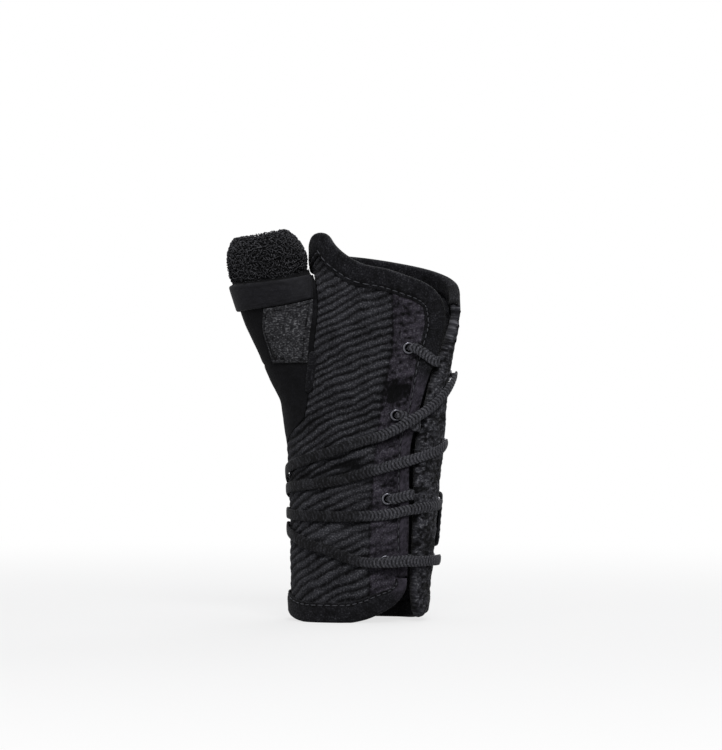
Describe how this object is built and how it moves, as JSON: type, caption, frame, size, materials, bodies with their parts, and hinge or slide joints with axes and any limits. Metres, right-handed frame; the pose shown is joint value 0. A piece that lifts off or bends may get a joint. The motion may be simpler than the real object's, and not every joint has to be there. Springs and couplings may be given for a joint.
{
  "type": "wrist and thumb splint",
  "caption": "Lace-up wrist and thumb splint for the left hand: ribbed cloth shell, hinged dorsal flap, thumb sleeve with pile cuff, flat laces and removable stays.",
  "frame": {"origin": "middle of the base: the splint stands on its forearm hem at z = 0", "axes": "+Z from the forearm to the fingers, -Y out of the palm side, -X towards the thumb"},
  "size_m": [0.1048, 0.0536, 0.1761],
  "materials": {
    "ribbed_cloth": "black ribbed cloth, matt",
    "brushed_cloth": "brushed black binding tape with a stitch line",
    "lining_cloth": "dark grey brushed lining",
    "stretch_knit": "dark stretch knit",
    "loop_pile": "curly black loop pile",
    "smooth_strap": "smooth black laminated strap",
    "lace_braid": "flat braided black lace",
    "hook_tape": "black hook tape",
    "black_nickel": "dark polished nickel",
    "stay_aluminium": "plain rolled aluminium"
  },
  "bodies": {
    "palmar_shell": {"palmar_panel": "ribbed_cloth", "thumb_side_panel": "ribbed_cloth", "palmar_eyelet_1": "black_nickel", "palmar_eyelet_2": "black_nickel", "palmar_eyelet_3": "black_nickel", "palmar_eyelet_4": "black_nickel", "palm_binding": "brushed_cloth", "forearm_binding": "brushed_cloth", "thumb_gusset": "stretch_knit", "thumb_band": "smooth_strap", "thumb_knit_patch": "stretch_knit", "thumb_cuff": "loop_pile", "palmar_lining": "lining_cloth", "palmar_stay_pocket": "lining_cloth", "thumb_stay_pocket": "lining_cloth", "lace_upper": "lace_braid", "lace_lower": "lace_braid"},
    "dorsal_flap": {"dorsal_panel": "ribbed_cloth", "dorsal_eyelet_1": "black_nickel", "dorsal_eyelet_2": "black_nickel", "dorsal_eyelet_3": "black_nickel", "dorsal_eyelet_4": "black_nickel", "dorsal_top_binding": "brushed_cloth", "dorsal_hem_binding": "brushed_cloth", "dorsal_edge_roll": "brushed_cloth", "dorsal_lining": "lining_cloth", "dorsal_stay_pocket": "lining_cloth"},
    "pull_tab": {"pull_tab": "smooth_strap", "pull_tab_hook": "hook_tape"},
    "thumb_band_tab": {"thumb_band_tab": "smooth_strap"},
    "palmar_stay": {"palmar_stay": "stay_aluminium"},
    "dorsal_stay": {"dorsal_stay": "stay_aluminium"},
    "thumb_stay": {"thumb_stay": "stay_aluminium"}
  },
  "joints": [
    {"name": "flap_hinge", "type": "hinge", "parent": "palmar_shell", "child": "dorsal_flap", "pos_m": [-0.00999, 0.0233, 0], "axis": [0, -0.0499, 0.9988], "range_deg": [0, 25], "deforming": ["lace_upper", "lace_lower"]},
    {"name": "pull_tab_hinge", "type": "hinge", "parent": "dorsal_flap", "child": "pull_tab", "pos_m": [0.00567, 0.02523, 0.04565], "axis": [0.0576, -0.0565, 0.9967], "range_deg": [0, 100], "deforming": ["lace_upper", "lace_lower"]},
    {"name": "thumb_band_tab_hinge", "type": "hinge", "parent": "palmar_shell", "child": "thumb_band_tab", "pos_m": [-0.0365, 0.0134, 0.1466], "axis": [0, 0.1029, 0.9947], "range_deg": [0, 90]},
    {"name": "palmar_stay_slide", "type": "slide", "parent": "palmar_shell", "child": "palmar_stay", "axis": [0.0516, -0.0053, 0.9987], "range_m": [0, 0.12]},
    {"name": "dorsal_stay_slide", "type": "slide", "parent": "dorsal_flap", "child": "dorsal_stay", "axis": [0.0654, -0.0532, 0.9964], "range_m": [0, 0.1]},
    {"name": "thumb_stay_slide", "type": "slide", "parent": "palmar_shell", "child": "thumb_stay", "axis": [0.3798, 0.0262, -0.9247], "range_m": [0, 0.04]}
  ]
}
